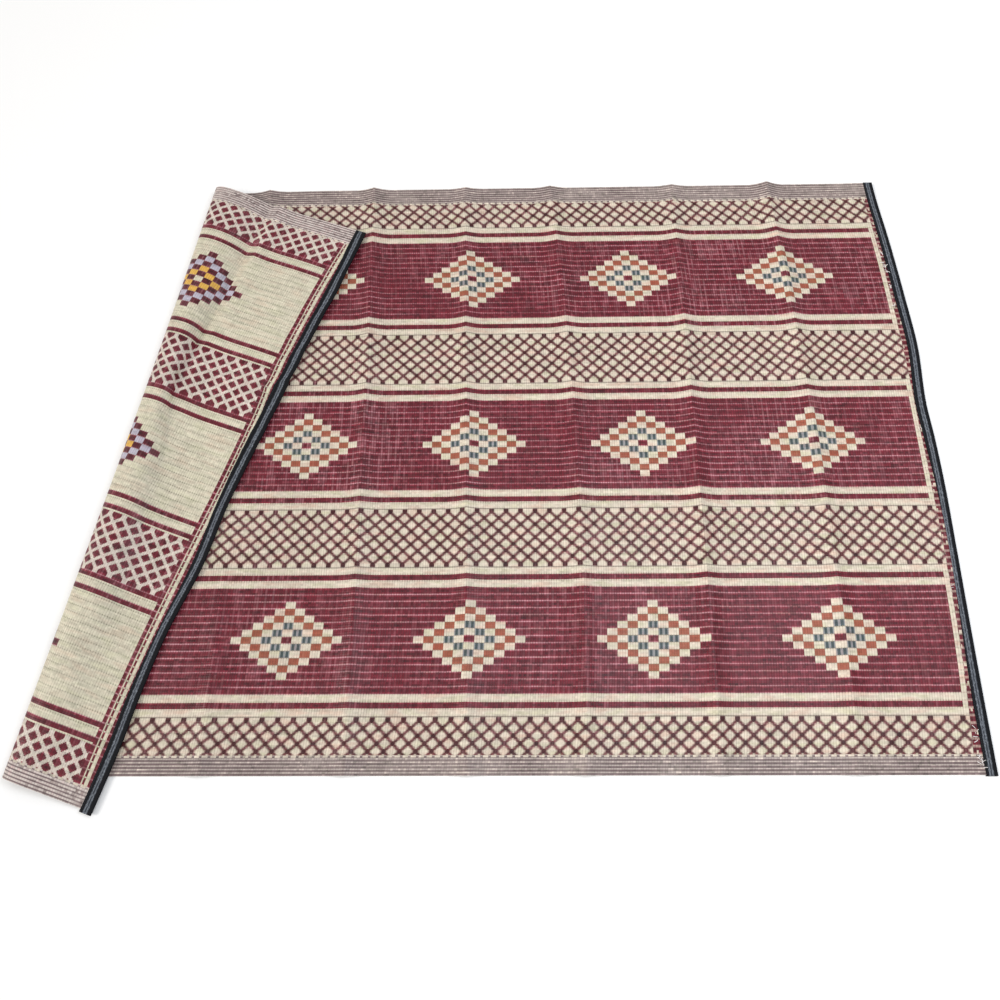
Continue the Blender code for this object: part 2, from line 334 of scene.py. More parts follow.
    def lower_height(self, u: Array, v: Array) -> Array:
        """The height of the lower layer's middle.

        Args:
            u: The u of each point.
            v: Its v.

        Returns:
            The height over the floor: the creases, the far edge's curl and the climb on to the right tape.
        """
        z = np.full_like(u, self.thickness / 2)
        for crease in self.creases:
            off = u - crease.line(v, self.half)
            z += crease.rise(v, self.half) * ridge(off, self.crease_side, self.crease_sharpness)
        reach = np.maximum(v - (self.half - self.curl_width), 0.0) / self.curl_width
        z += self.curl * reach**2 * ease((u - self.curl_from_u) / (self.curl_full_u - self.curl_from_u))
        from_end = self.end(End.RIGHT, v) - u
        climb = (self.climb_start - from_end) / (self.climb_start - self.climb_end)
        return z + self.tape_reach * ease(climb)

    def middle(self, u: Array, v: Array) -> Array:
        """The middle of the sheet's thickness.

        Args:
            u: The u of each point.
            v: Its v.

        Returns:
            The points in the part's frame, one more axis than u.
        """
        u, v = np.broadcast_arrays(np.asarray(u, float), np.asarray(v, float))
        sine, cosine = self.slant
        along, past, bow = self.fold_frame(u, v)
        fold_v = along * cosine
        rise, half = self.half_height(fold_v), self.half_bend(fold_v)
        arcs = self.bend_arcs
        turn = np.interp((past + half) / rise, arcs, np.linspace(0.0, math.pi, len(arcs)))
        across = -half + self.bend_flatness * rise * np.sin(turn)
        z = self.thickness / 2 + rise * (1 - np.cos(turn))
        on_flap = past >= half
        flap_u, flap_v, flap_fold = u[on_flap], v[on_flap], fold_v[on_flap]
        step = (past[on_flap] - half[on_flap]) / self.march_steps
        flap_across, flap_z = -half[on_flap], self.thickness / 2 + 2 * rise[on_flap]
        for k in range(1, self.march_steps + 1):
            back = (self.march_steps - k) * step
            height = self.flap_height(flap_u + back * cosine, flap_v - back * sine, flap_fold)
            flap_across = flap_across - np.sqrt(np.maximum(step**2 - (height - flap_z) ** 2, 0.0))
            flap_z = height
        across[on_flap], z[on_flap] = flap_across, flap_z
        flat = past <= -half
        x = np.where(flat, u, self.fold_at + along * sine - (across - bow) * cosine)
        y = np.where(flat, v, along * cosine + (across - bow) * sine)
        z = np.where(flat, self.lower_height(u, v), z)
        return np.stack([x - ORIGIN_U, y - ORIGIN_V, z], axis=-1)

    def frame(self, u: Array, v: Array) -> tuple[Array, Array, Array]:
        """How the sheet stands at a point.

        Args:
            u: The u of each point.
            v: Its v.

        Returns:
            The sheet's middle, its direction along u and its front face's outward normal.
        """
        du = self.middle(u + self.probe, v) - self.middle(u - self.probe, v)
        dv = self.middle(u, v + self.probe) - self.middle(u, v - self.probe)
        along, normal = (d / np.linalg.norm(d, axis=-1, keepdims=True) for d in (du, np.cross(du, dv)))
        return self.middle(u, v), along, normal


def operation(word: str, turned: bool = False) -> Callable[..., "Value"]:
    """A method that adds a Math node.

    Args:
        word: The node's operation.
        turned: Whether the method's own value comes last.

    Returns:
        The method.
    """

    def method(self: "Value", *others: "Number") -> "Value":
        """The operation's result."""
        return self.graph.math(word, *((*others, self) if turned else (self, *others)))

    return method


class Value:
    """A node's output. A sum or comparison with it adds a node and gives that node's output."""

    __add__ = __radd__ = operation("ADD")
    __sub__ = operation("SUBTRACT")
    __rsub__ = operation("SUBTRACT", turned=True)
    __mul__ = __rmul__ = operation("MULTIPLY")
    __truediv__ = operation("DIVIDE")
    __mod__ = operation("FLOORED_MODULO")
    __gt__ = operation("GREATER_THAN")
    __lt__ = operation("LESS_THAN")
    __abs__ = operation("ABSOLUTE")
    floor = operation("FLOOR")
    fract = operation("FRACT")
    least = operation("MINIMUM")
    most = operation("MAXIMUM")

    def __init__(self, graph: "Graph", socket: bpy.types.NodeSocket) -> None:
        """Hold the output."""
        self.graph, self.socket = graph, socket

    def inside(self, low: float, high: float) -> "Value":
        """1 where this lies between two numbers."""
        return (self > low) * (self < high)

    def smooth(self, low: float, high: float) -> "Value":
        """A soft step from 0 at low to 1 at high."""
        feeds = dict(enumerate((self, low, high, 0.0, 1.0)))
        return self.graph.out("ShaderNodeMapRange", feeds, interpolation_type="SMOOTHSTEP")


Number = Value | float
Outputs = dict[str, Value]


class Graph:
    """A node tree while it is wired."""

    def __init__(self, tree: Tree) -> None:
        """Start on a tree."""
        self.tree = tree

    def fill(self, node: bpy.types.Node, feeds: dict) -> None:
        """Link or set a node's inputs.

        Args:
            node: The node.
            feeds: A value for each input, by name or number.
        """
        for key, value in feeds.items():
            if isinstance(value, Value):
                self.tree.links.new(value.socket, node.inputs[key])
            else:
                node.inputs[key].default_value = value

    def node(self, kind: str, feeds: dict, **settings: object) -> bpy.types.Node:
        """Add a node.

        Args:
            kind: Its type.
            feeds: A value for each input, by name or number.
            settings: Its properties.

        Returns:
            The node.
        """
        node = self.tree.nodes.new(kind)
        for name, value in settings.items():
            setattr(node, name, value)
        self.fill(node, feeds)
        return node

    def out(self, kind: str, feeds: dict, which: int | str = 0, **settings: object) -> Value:
        """Add a node, and give one of its outputs."""
        return Value(self, self.node(kind, feeds, **settings).outputs[which])

    def math(self, word: str, *values: Number) -> Value:
        """A Math node of these values."""
        return self.out("ShaderNodeMath", dict(enumerate(values)), operation=word)

    def pick(self, share: Number, a: Number, b: Number) -> Value:
        """A number between a and b."""
        return self.out("ShaderNodeMix", {0: share, 2: a, 3: b}, data_type="FLOAT")

    def tint(self, share: Number, a: Value | Colour, b: Value | Colour, blend: str = "MIX") -> Value:
        """A colour between a and b."""
        return self.out("ShaderNodeMix", {0: share, 6: a, 7: b}, 2, data_type="RGBA", blend_type=blend)

    def vector(self, x: Number, y: Number, z: Number = 0.0) -> Value:
        """A vector of three numbers."""
        return self.out("ShaderNodeCombineXYZ", {0: x, 1: y, 2: z})

    def split(self, vector: Value) -> tuple[Value, Value]:
        """A vector's x and y."""
        node = self.node("ShaderNodeSeparateXYZ", {0: vector})
        return Value(self, node.outputs[0]), Value(self, node.outputs[1])

    def dice(self, x: Number, y: Number, seed: float) -> Value:
        """A fixed chance value, 0 to 1, for each cell."""
        feeds = {"Vector": self.vector(x, y, seed)}
        return self.out("ShaderNodeTexWhiteNoise", feeds, "Value", noise_dimensions="3D")

    def noise(self, place: Value, scale: float = 1.0, detail: float = 2.0) -> Value:
        """A noise texture."""
        feeds = {"Vector": place, "Scale": scale, "Detail": detail}
        return self.out("ShaderNodeTexNoise", feeds, noise_dimensions="3D")

    def chance(self, low: float, high: float, seed: int) -> Value:
        """A random number for each copy in a Geometry Nodes tree."""
        return self.out("FunctionNodeRandomValue", {2: low, 3: high, "Seed": seed}, 1, data_type="FLOAT")

    def bump(self, height: Value, depth: float) -> Value:
        """The normal of a raised pattern."""
        return self.out("ShaderNodeBump", {"Strength": 1.0, "Distance": depth, "Height": height})


def new_tree(kind: str, name: str, takes: dict, gives: dict[str, str]) -> tuple[Graph, Outputs]:
    """A node group with named sockets.

    Args:
        kind: The type of tree.
        name: Its name.
        takes: Its inputs, name to socket type, or to the value of a number.
        gives: Its outputs, name to socket type.

    Returns:
        The graph to wire and the inputs by name.
    """
    tree = bpy.data.node_groups.new(name, kind)
    for word, taken in takes.items():
        number = isinstance(taken, float)
        socket = tree.interface.new_socket(name=word, in_out="INPUT", socket_type=FLOAT if number else taken)
        if number:
            socket.default_value = taken
    for word, given in gives.items():
        tree.interface.new_socket(name=word, in_out="OUTPUT", socket_type=given)
    g = Graph(tree)
    return g, {s.name: Value(g, s) for s in g.node("NodeGroupInput", {}).outputs if s.name}


@dataclass(frozen=True)
class PatternGroup:
    """The woven pattern as masks: where it is light, and its parts that take colours of their own."""

    name: str = "Mat pattern"
    takes: tuple[str, ...] = ("Rib", "Warp", "Lozenge", "Softness", "Reverse")
    gives: tuple[str, ...] = ("Light", "Ring Two", "Ring Four", "Motif", "Selvage", "Lattice", "Rule", "Knot")
    period: float = 30.0
    ground: float = 15.0
    stripes: float = 3.0
    stripe_edge: float = 0.41
    back_stripe: Pair = (0.5, 0.74)
    lattice: float = 9.0
    lattice_runs_on: float = 2.0
    lozenge_half: float = 3.0
    lozenge_shifts: Pair = (4.5, 1.5)
    lozenge_steps: float = 4.0
    knot: float = 0.95
    knot_flatness: float = 3.2
    rule: float = 0.10
    first_ground: float = 11.0
    selvages: Pair = (3.0, 94.0)
    diamond_ribs: float = 7.0
    diamond_warps: float = 72.0
    cell_warps: float = 4.0
    rings: float = 5.0
    right_border: float = 44.0
    left_border: float = -338.0
    line: float = 2.0
    line_waver: float = 0.25
    fleck_from: float = 2.3
    fleck_rarity: float = 0.92
    flecks_a_warp: float = 1.5
    rows_a_rib: float = 2.0
    gap_middle: Pair = (0.16, 0.82)
    gap_share: float = 0.45
    back_line: float = 1.6
    back_dashes: Pair = (2.1, 2.9)
    dash: Pair = (0.05, 0.90)
    back_edge: float = 4.3

    def build(self) -> Tree:
        """Wire the group.

        Returns:
            The group's tree.
        """
        takes, gives = (dict.fromkeys(words, FLOAT) for words in (self.takes, self.gives))
        g, taken = new_tree("ShaderNodeTree", self.name, takes, gives)
        rib, warp, reverse = taken["Rib"], taken["Warp"], taken["Reverse"]
        phase = (rib - self.first_ground) % self.period
        first = self.ground + self.stripes
        last = first + self.lattice
        is_ground, is_lattice = phase < self.ground, phase.inside(first, last)
        light_lattice, knots = self._lattice(g, phase - first, taken)
        ring = self._ring(phase, warp)
        in_motif = (ring < self.rings + 0.5) * is_ground
        banded = g.pick(is_lattice, self._stripes(g, phase, reverse), light_lattice)
        border = (warp - self.right_border).most(self.left_border - warp)
        in_border = border > is_lattice * (1 - reverse) * self.lattice_runs_on
        light = g.pick(is_ground, banded, in_motif * (ring % 2.0))
        within = 1 - in_border
        plain = rib.inside(*self.selvages) * within
        to_rule = abs(phase - first).least(abs(phase - last))
        masks = (
            g.pick(in_border, light, self._border(g, border, rib, reverse)),
            in_motif * ring.inside(1.5, 2.5) * within,
            in_motif * ring.inside(3.5, 4.5) * within,
            in_motif * plain,
            (self.selvages[0] - rib).most(rib - self.selvages[1]),
            is_lattice * plain,
            (to_rule < self.rule) * plain,
            knots * is_lattice * plain,
        )
        g.node("NodeGroupOutput", dict(zip(self.gives, masks)))
        return g.tree

    def _stripes(self, g: Graph, phase: Value, reverse: Value) -> Value:
        """Three ribs of stripes, either side of a lattice: the middle one is dark on the front.

        Args:
            g: The group's graph.
            phase: Ribs into the pattern's repeat.
            reverse: 1 on the back.

        Returns:
            Where they are light.
        """
        late = phase > self.ground + self.stripes
        place = phase - g.pick(late, self.ground, self.period - self.stripes)
        off = abs(place - self.stripes / 2)
        edge, share = self.back_stripe
        return g.pick(reverse, off > self.stripe_edge, (off > edge) * (place.fract() < share))

    def _lattice(self, g: Graph, place: Value, taken: Outputs) -> tuple[Value, Value]:
        """Rows of lozenges, half a repeat apart from row to row, whose tips reach into the next rows.

        Args:
            g: The group's graph.
            place: Ribs into the lattice.
            taken: The group's inputs, of which Lozenge says how much of its share each lozenge fills, and
                Softness how softly it ends.

        Returns:
            Where the lattice is light, and where its dark lines cross.
        """
        row, steps, half = place.floor(), 2.0 * STRAWS, self.lozenge_half
        step = (place.fract() * steps).floor() + (0.5 - STRAWS)
        late = g.pick(row > self.lattice - 1.5, step, step.least(0.0))
        height = abs(g.pick(row < 0.5, late, step.most(0.0))) / steps
        off = abs((taken["Warp"] - g.pick(row % 2.0, *self.lozenge_shifts) + half) % (2 * half) - half)
        share = ((off * self.lozenge_steps).floor() + 0.5) / (self.lozenge_steps * half)
        reach = share + height
        at_tip = (1 - share) * half + height * self.knot_flatness < self.knot
        at_side = share * half + (1 - height) * self.knot_flatness < self.knot
        knots = at_tip.most(at_side)
        rim = (reach.least(2.0 - reach) - taken["Lozenge"]) / taken["Softness"]
        return rim.smooth(0.5, -0.5) * (1 - knots), knots

    def _ring(self, phase: Value, warp: Value) -> Value:
        """The ring of a diamond that a cell lies on, counted from its middle."""
        across = (warp + self.diamond_warps / 2) % self.diamond_warps - self.diamond_warps / 2
        return abs((across / self.cell_warps + 0.5).floor()) + abs(phase.floor() - self.diamond_ribs)

    def _border(self, g: Graph, border: Value, rib: Value, reverse: Value) -> Value:
        """A light line along each end, then a dark strip with a few loose straws.

        Args:
            g: The group's graph.
            border: Warp threads past the pattern's end.
            rib: The rib.
            reverse: 1 on the back.

        Returns:
            Where the border is light on the front, or dark on the back.
        """
        row, part = (rib * self.rows_a_rib).floor(), rib.fract()
        ragged = border + (g.dice(row, 1.0, seed=6.0) - 0.5) * self.line_waver
        chance = g.dice(row, (border * self.flecks_a_warp).floor(), seed=3.0)
        flecks = (border > self.fleck_from) * (chance > self.fleck_rarity)
        gaps = (1 - part.inside(*self.gap_middle)) * self.gap_share
        front = (ragged < self.line).most(flecks).most(gaps)
        dashes = border.inside(*self.back_dashes) * part.inside(*self.dash)
        back = (border < self.back_line).most(dashes).most(border > self.back_edge)
        return g.pick(reverse, front, back)


@dataclass(frozen=True)
class WeaveGroup:
    """The weave itself: straw and thread relief, and the uneven shade from straw to straw.

    Each stretched noise has its scale along the mat, its scale across and its layer.
    """

    name: str = "Mat weave"
    gives: tuple[str, ...] = (
        "Rib", "Warp", "Height", "Groove", "Core", "Thread", "Streak", "Shade", "Tint", "Wear", "Dust",
    )
    groove: Pair = (0.34, 0.48)
    core: Pair = (0.06, 0.42)
    thread: Pair = (0.28, 0.46)
    straw_relief: float = 0.35
    thread_relief: float = 0.30
    groove_relief: float = 0.55
    dash_warps: float = 5.0
    cell_shade: float = 0.34
    dash_shade: float = 0.26
    streak_shade: float = 0.55
    streak: Triple = (9.0, 0.73, 0.0)
    upright: Triple = (0.83, 0.20, 7.0)
    tint: Triple = (22.0, 0.9, 4.0)
    wear_scale: float = 9.0
    dust_scale: float = 2.3

    @staticmethod
    def _noise(g: Graph, x: Value, y: Value, stretch: Triple, detail: float) -> Value:
        """A stretched noise."""
        along, across, layer = stretch
        return g.noise(g.vector(x * along, y * across, layer), detail=detail)

    def build(self) -> Tree:
        """Wire the group.

        Returns:
            The group's tree.
        """
        g, taken = new_tree("ShaderNodeTree", self.name, {"Place": VECTOR}, dict.fromkeys(self.gives, FLOAT))
        place = taken["Place"]
        u, v = g.split(place)
        rib, warp = (RIB_ZERO - v) / RIB, (u - MOTIF_U) / WARP
        straws = rib * float(STRAWS)
        straw, threads = straws.floor(), warp.floor()
        straw_off, rib_off, warp_off = (abs(x.fract() - 0.5) for x in (straws, rib, warp))
        groove, thread = rib_off.smooth(*self.groove), warp_off.smooth(*self.thread)
        rounding = straw_off * straw_off * 4.0 * self.straw_relief
        height = 1 - rounding - thread * self.thread_relief - groove * self.groove_relief
        start = g.dice(straw, 2.0, seed=2.0) * self.dash_warps
        dashes = g.dice(((warp + start) / self.dash_warps).floor(), straw, seed=3.0)
        streak = self._noise(g, u, straw, self.streak, 3.0)
        shade = (g.dice(threads, straw, seed=1.0) - 0.5) * self.cell_shade
        shade = shade + (dashes - 0.5) * self.dash_shade + (streak - 0.5) * self.streak_shade
        upright = self._noise(g, threads, rib, self.upright, 1.0)
        tint = self._noise(g, u, rib, self.tint, 2.0)
        wear, dust = g.noise(place, self.wear_scale, detail=4.0), g.noise(place, self.dust_scale)
        core = 1 - rib_off.smooth(*self.core)
        values = (rib, warp, height, groove, core, thread, upright, shade, tint, wear, dust)
        g.node("NodeGroupOutput", dict(zip(self.gives, values)))
        return g.tree


def new_material(name: str) -> tuple[Material, Graph, bpy.types.Node]:
    """A material to wire.

    Args:
        name: Its name.

    Returns:
        The material, its graph and its shader.
    """
    material = bpy.data.materials.new(name)
    material.use_nodes = True
    return material, Graph(material.node_tree), material.node_tree.nodes["Principled BSDF"]


@dataclass(frozen=True)
class StrawFinish:
    """Extruded straw as one face of the mat shows it.

    A span is where a soft step begins and ends. A share or a shade is how strongly a thing shows. In pairs,
    worn_ shares are before and past the worn ribs, face_ shares on the front and the back, and the others
    on dark straw and on light.
    """

    side: Side
    dark: Colour = linear(109, 26, 42)
    deep: Colour = linear(58, 18, 22)
    light: Colour = linear(207, 196, 179)
    wire: Colour = linear(78, 50, 46)
    ring_two: Colour = linear(140, 140, 143)
    ring_four: Colour = linear(150, 82, 63)
    bar: Colour = linear(62, 76, 80)
    # Pale lines in the grooves and along the warp, on dark straw and on light: partly the thread's own pale
    # colour, partly a painted highlight off the straws' curves.
    pale_line_and_highlight_on_dark: Colour = linear(184, 134, 142)
    pale_line_and_highlight_on_light: Colour = linear(150, 138, 122)
    warm: Colour = linear(246, 214, 206)
    cool: Colour = linear(226, 234, 206)
    selvage: Colour = linear(172, 159, 153)
    selvage_line: Colour = linear(102, 84, 85)
    tooth: Colour = linear(196, 184, 168)
    rule: Colour = linear(120, 108, 100)
    bars_a_warp: float = 0.5
    bar_place: Pair = (0.22, 0.78)
    core_share: float = 0.38
    knot_share: float = 0.75
    motif_share: float = 0.55
    rule_share: float = 0.6
    face_lattice: Pair = (0.65, 0.75)
    face_lattice_grooves: Pair = (0.75, 0.8)
    worn_ribs: Pair = (30.0, 78.0)
    worn_grooves: Pair = (0.80, 1.0)
    worn_breaks: Pair = (0.62, 0.30)
    groove_dots: float = 0.25
    groove_span: Pair = (0.08, 0.70)
    dust_span: Pair = (0.40, 0.68)
    least_dust: float = 0.25
    upright_span: Pair = (0.45, 0.63)
    worn_uprights: Pair = (0.34, 0.20)
    light_uprights: float = 0.10
    gap_span: Pair = (0.70, 0.40)
    gap_shades: Pair = (0.55, 0.30)
    warm_span: Pair = (0.45, 0.72)
    cool_span: Pair = (0.55, 0.28)
    uneven_shades: Pair = (1.6, 0.6)
    selvage_pitch: float = 0.44
    selvage_gap: float = 0.40
    selvage_softness: float = 0.16
    selvage_span: Pair = (0.0, 0.55)
    selvage_shade: float = 0.92
    selvage_gap_shade: float = 0.40
    selvage_specks: float = 1.4
    tooth_depth: float = 0.27
    tooth_warps: float = 3.0
    tooth_share: float = 0.66
    tinge: float = 0.55
    lozenge: float = 0.74
    softness: float = 0.42
    relief: float = 0.00045
    roughness: float = 0.34
    rougher: float = 0.2
    specular: float = 0.3

    @staticmethod
    def group(g: Graph, tree: Tree, feeds: dict[str, Number]) -> Outputs:
        """Place a node group, and give its outputs by name."""
        node = g.node("ShaderNodeGroup", feeds, node_tree=tree)
        return {s.name: Value(g, s) for s in node.outputs}

    def marks(self, w: Outputs, p: Outputs, is_light: Value) -> tuple[tuple, ...]:
        """The darker or paler places of the woven pattern.

        Args:
            w: The weave's outputs.
            p: The pattern's outputs.
            is_light: Where the straw is light.

        Returns:
            Each one's strength and its colour.
        """
        is_dark, (front, back) = 1 - is_light, self.face_lattice
        core = (w["Core"] * is_dark * self.core_share, self.deep)
        if self.side is Side.FRONT:
            lattice, knots = p["Lattice"] * is_dark * front, p["Knot"] * self.knot_share
            return (lattice, self.wire), (knots, self.deep), core
        motifs, lattice = p["Motif"] * is_dark * self.motif_share, p["Lattice"] * is_light * back
        return (motifs, self.deep), (lattice, self.wire), core

    def threads(self, g: Graph, w: Outputs, p: Outputs, is_light: Value) -> tuple[Value, Value]:
        """The warp and the grooves that show pale between the straws: partly their own colour, partly a
        painted highlight.

        Args:
            g: The material's graph.
            w: The weave's outputs.
            p: The pattern's outputs.
            is_light: Where the straw is light.

        Returns:
            How strongly the grooves show, and how strongly the pale uprights do, both partly painted
            highlight.
        """
        worn = w["Rib"].smooth(*self.worn_ribs)
        broken = g.pick(worn, *self.worn_grooves) - w["Thread"] * g.pick(worn, *self.worn_breaks)
        seen = g.pick(is_light, broken, w["Thread"] * (1 - self.groove_dots) + self.groove_dots)
        front, back = self.face_lattice_grooves
        hidden = p["Lattice"] * ((1 - is_light) * front if self.side is Side.FRONT else back)
        # Pale lines in the grooves, partly painted highlight, stronger where the Wear noise is high.
        grooves = w["Groove"] * w["Wear"].smooth(*self.groove_span) * seen * (1 - hidden)
        # A noise region where the pale uprights, partly painted highlight, show most.
        region = w["Dust"].smooth(*self.dust_span) * (1 - self.least_dust) + self.least_dust
        share = g.pick(is_light, g.pick(worn, *self.worn_uprights), self.light_uprights)
        return grooves, w["Streak"].smooth(*self.upright_span) * (1 - w["Thread"]) * region * share

    def colours(self, g: Graph, w: Outputs, p: Outputs) -> Value:
        """The colour of the straw.

        Args:
            g: The material's graph.
            w: The weave's outputs.
            p: The pattern's outputs.

        Returns:
            The colour.
        """
        front = self.side is Side.FRONT
        colour = g.tint(p["Light"], *((self.dark, self.light) if front else (self.light, self.dark)))
        ring_two = self.ring_two
        if front:
            bars = (w["Warp"] * self.bars_a_warp).fract().inside(*self.bar_place)
            ring_two = g.tint(bars, ring_two, self.bar)
        colour = g.tint(p["Ring Two"], colour, ring_two)
        colour = g.tint(p["Ring Four"], colour, self.ring_four)
        is_light = (p["Light"] if front else 1 - p["Light"]).most(p["Ring Two"].most(p["Ring Four"]))
        # The pale lines in the grooves and along the warp: partly the thread's own colour, partly a painted
        # highlight off the straws' curves.
        lines = g.tint(is_light, self.pale_line_and_highlight_on_dark, self.pale_line_and_highlight_on_light)
        grooves, uprights = self.threads(g, w, p, is_light)
        gaps = w["Thread"] * w["Streak"].smooth(*self.gap_span)
        between = (grooves, lines), (uprights, lines), (gaps * g.pick(is_light, *self.gap_shades), self.deep)
        for share, tone in (*self.marks(w, p, is_light), *between):
            colour = g.tint(share, colour, tone)
        for span, tone in ((self.warm_span, self.warm), (self.cool_span, self.cool)):
            colour = g.tint(w["Tint"].smooth(*span) * self.tinge, colour, tone, "MULTIPLY")
        if front:
            colour = g.tint(p["Rule"] * self.rule_share, colour, self.rule)
        colour = g.tint(p["Selvage"] > 0.0, colour, self.edge(g, w, p["Selvage"], gaps))
        bright = w["Shade"] * g.pick(is_light, *self.uneven_shades) + 1.0
        return g.tint(1.0, colour, g.vector(bright, bright, bright), "MULTIPLY")

    def edge(self, g: Graph, w: Outputs, place: Value, gaps: Value) -> Value:
        """The colour of the selvage: close straws with darker lines between them.

        Args:
            g: The material's graph.
            w: The weave's outputs.
            place: Ribs out from the selvage's inner edge.
            gaps: Where gaps show between the warp threads.

        Returns:
            The colour.
        """
        speck = self.light if self.side is Side.FRONT else self.dark
        colour = g.tint(abs(w["Shade"]) * self.selvage_specks, self.selvage, speck)
        off = abs((place / self.selvage_pitch).fract() - 0.5)
        line = off.smooth(self.selvage_gap, self.selvage_gap - self.selvage_softness)
        line = line * w["Wear"].smooth(*self.selvage_span) * self.selvage_shade
        for share in (line, gaps * self.selvage_gap_shade):
            colour = g.tint(share, colour, self.selvage_line)
        tooth = (place < self.tooth_depth) * ((w["Warp"] / self.tooth_warps).fract() < self.tooth_share)
        return g.tint(tooth, colour, self.tooth)

    def build(self, pattern: Tree, weave: Tree) -> Material:
        """Make the material.

        Args:
            pattern: The pattern's group.
            weave: The weave's group.

        Returns:
            The material of this face.
        """
        material, g, shader = new_material(f"woven_straw_{self.side.value}")
        w = self.group(g, weave, {"Place": g.out("ShaderNodeUVMap", {}, uv_map=WEAVE_MAP)})
        feeds = {"Lozenge": self.lozenge, "Softness": self.softness, "Reverse": float(self.side is Side.BACK)}
        p = self.group(g, pattern, {"Rib": w["Rib"], "Warp": w["Warp"], **feeds})
        surface = {
            "Base Color": self.colours(g, w, p),
            "Roughness": w["Wear"] * self.rougher + self.roughness,
            "Specular IOR Level": self.specular,
            "Normal": g.bump(w["Height"], self.relief),
        }
        g.fill(shader, surface)
        return material


@dataclass(frozen=True)
class TapeFinish:
    """Woven binding tape: black with a grey band of slanting weave."""

    black: Colour = linear(17, 18, 22)
    grey: Colour = linear(72, 76, 84)
    fleck: Colour = linear(138, 144, 152)
    rib: float = 0.0011
    slope: float = 1.6
    band: Pair = (0.0038, 0.0044)
    line: float = 0.0021
    line_half: float = 0.0005
    line_share: float = 0.55
    yarn: float = 0.0012
    twill: Pair = (0.2, 0.42)
    twill_relief: float = 1.2
    fleck_rarity: float = 0.78
    fleck_share: float = 0.5
    relief: float = 0.0003
    roughness: float = 0.6
    rougher: float = 0.3
    specular: float = 0.12

    def build(self) -> Material:
        """Make the material, which reads the tape's own map: along it, and across it in metres.

        Returns:
            The tape's material.
        """
        material, g, shader = new_material("binding_tape")
        along, across = g.split(g.out("ShaderNodeUVMap", {}, uv_map=TAPE_MAP))
        off = abs(across)
        band = 1 - off.smooth(*self.band)
        slant = along / (self.rib * 2) + off / (self.rib * self.slope)
        twill, rows = (abs(x.fract() - 0.5) for x in (slant, along / self.rib))
        chance = g.dice(slant.floor(), (across / self.yarn).floor(), seed=5.0)
        grey = g.tint(twill.smooth(*self.twill), self.grey, self.black)
        grey = g.tint((abs(off - self.line) < self.line_half) * self.line_share, grey, self.fleck)
        grey = g.tint((chance > self.fleck_rarity) * self.fleck_share, grey, self.fleck)
        surface = {
            "Base Color": g.tint(band, self.black, grey),
            "Roughness": rows * self.rougher + self.roughness,
            "Specular IOR Level": self.specular,
            "Normal": g.bump(rows + twill * band * self.twill_relief, self.relief),
        }
        g.fill(shader, surface)
        return material


@dataclass(frozen=True)
class ThreadFinish:
    """A thin strand, a little uneven in shade along its length."""

    name: str = "sewing_thread"
    shade: Colour = linear(40, 42, 48)
    colour: Colour = linear(70, 72, 78)
    roughness: float = 0.6
    rougher: float = 0.3
    grain: float = 2500.0

    def build(self) -> Material:
        """Make the material.

        Returns:
            The strand's material.
        """
        material, g, shader = new_material(self.name)
        twist = g.noise(g.out("ShaderNodeTexCoord", {}, "Object"), self.grain)
        colour = g.tint(twist, self.shade, self.colour)
        g.fill(shader, {"Base Color": colour, "Roughness": twist * self.rougher + self.roughness})
        return material


def shell_faces(rows: int, columns: int) -> Array:
    """The faces of a closed shell between two grids of points.

    Args:
        rows: The grids' rows.
        columns: Their columns.

    Returns:
        Each face's four corners: first the front's faces, then the back's, then the rim's.
    """
    low = rows * columns
    index = np.arange(low).reshape(rows, columns)
    a, b, c, d = index[:-1, :-1], index[:-1, 1:], index[1:, 1:], index[1:, :-1]
    faces = [np.stack([a, b, c, d], -1).reshape(-1, 4), np.stack([a, d, c, b], -1).reshape(-1, 4) + low]
    for line, way in ((index[0], 1), (index[:, -1], 1), (index[-1], -1), (index[:, 0], -1)):
        p, q = line[:-1], line[1:]
        faces.append(np.stack([p, p + low, q + low, q], -1)[:, ::way])
    return np.concatenate(faces)


def new_object(name: str, points: list, edges: list, faces: list) -> Object:
    """An object of a new mesh, in the scene.

    Args:
        name: The object's name.
        points: The mesh's points.
        edges: Its loose edges.
        faces: Its faces.

    Returns:
        The object.
    """
    mesh = bpy.data.meshes.new(name)
    mesh.from_pydata(points, edges, faces)
    obj = bpy.data.objects.new(name, mesh)
    bpy.context.scene.collection.objects.link(obj)
    return obj


def set_map(mesh: Mesh, name: str, places: Array) -> None:
    """Store a place for each vertex as a UV map.

    Args:
        mesh: The mesh.
        name: The map's name.
        places: Two numbers for each vertex.
    """
    layer = mesh.uv_layers.new(name=name)
    corners = np.empty(len(mesh.loops), dtype=np.int32)
    mesh.loops.foreach_get("vertex_index", corners)
    layer.data.foreach_set("uv", places[corners].astype(np.float32).ravel())


def geometry_tree(name: str, sizes: dict[str, float]) -> tuple[Graph, Outputs]:
    """A Geometry Nodes tree with named sizes, its graph and its inputs."""
    takes = {"Geometry": GEOMETRY, **sizes, "Material": MATERIAL}
    return new_tree("GeometryNodeTree", name, takes, {"Geometry": GEOMETRY})


def end_tree(g: Graph, made: Value, material: Value) -> Tree:
    """End a Geometry Nodes tree: make its copies real and give them their material.

    Args:
        g: The tree's graph.
        made: What it has made.
        material: The material's input.

    Returns:
        The tree.
    """
    real = g.out("GeometryNodeRealizeInstances", {0: made})
    painted = g.out("GeometryNodeSetMaterial", {"Geometry": real, "Material": material})
    g.node("NodeGroupOutput", {"Geometry": painted})
    return g.tree


